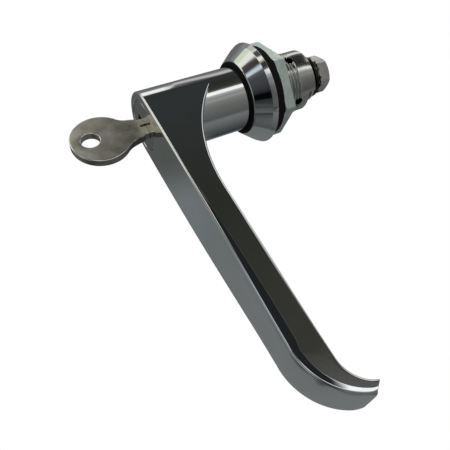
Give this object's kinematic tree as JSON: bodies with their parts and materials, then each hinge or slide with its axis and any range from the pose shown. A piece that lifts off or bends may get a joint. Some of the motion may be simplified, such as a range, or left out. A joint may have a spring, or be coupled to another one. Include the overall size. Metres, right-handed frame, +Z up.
{
  "type": "l-handle lock",
  "caption": "Keyed L-handle panel lock: chrome lever on a round neck, conical escutcheon, threaded barrel with nut, quarter-turn stops, rear washers and hex screw, key inserted.",
  "frame": {"origin": "on the lock axis, in the plane of the escutcheon's rear face, which seats on the panel", "axes": "+Y along the lock axis from the key towards the inside of the cabinet, +Z up, the lever hangs down along -Z, +X to the right seen from the front"},
  "size_m": [0.0296, 0.0809, 0.1042],
  "materials": {
    "chrome_body": "mirror chrome plating on a zinc casting",
    "black_rubber": "matt black rubber",
    "zinc_nut": "pale zinc plating",
    "plastic_washer": "natural nylon",
    "plug_nickel": "nickel plating",
    "brass": "plain brass",
    "spring_steel": "bright wire",
    "steel": "plain steel",
    "zinc_washer": "bright zinc plating",
    "dark_steel": "dark oiled steel",
    "zinc_screw": "zinc plating with a faint colour",
    "key_nickel": "dull nickel plating"
  },
  "bodies": {
    "body": {"housing": "chrome_body", "panel_gasket": "black_rubber", "mounting_nut": "zinc_nut", "neck_seal": "black_rubber", "thrust_washer": "plastic_washer"},
    "handle": {"l_handle": "chrome_body", "stop_plate": "steel", "keyed_washer": "zinc_washer", "tooth_washer": "zinc_washer", "spacer": "dark_steel", "plain_washer": "dark_steel", "cam_screw": "zinc_screw"},
    "plug": {"lock_plug": "plug_nickel", "wafers": "brass", "plug_retainer": "brass", "wafer_springs": "spring_steel", "retainer_spring": "spring_steel", "tail_shaft": "steel"},
    "locking_pin": {"locking_pin": "steel"},
    "key": {"key": "key_nickel"}
  },
  "joints": [
    {"name": "handle_turn", "type": "hinge", "parent": "body", "child": "handle", "pos_m": [0, 0, 0], "axis": [0, -1, 0], "range_deg": [0, 90]},
    {"name": "plug_turn", "type": "hinge", "parent": "handle", "child": "plug", "pos_m": [0, 0, 0], "axis": [0, 1, 0], "range_deg": [0, 90]},
    {"name": "pin_slide", "type": "slide", "parent": "handle", "child": "locking_pin", "axis": [0, 0, -1], "range_m": [0, 0.00199]},
    {"name": "key_slide", "type": "slide", "parent": "plug", "child": "key", "axis": [0, -1, 0], "range_m": [0, 0.02]}
  ],
  "couplings": [
    {"joint": "pin_slide", "follows": "plug_turn", "m_per_rad": 0.0012605}
  ]
}
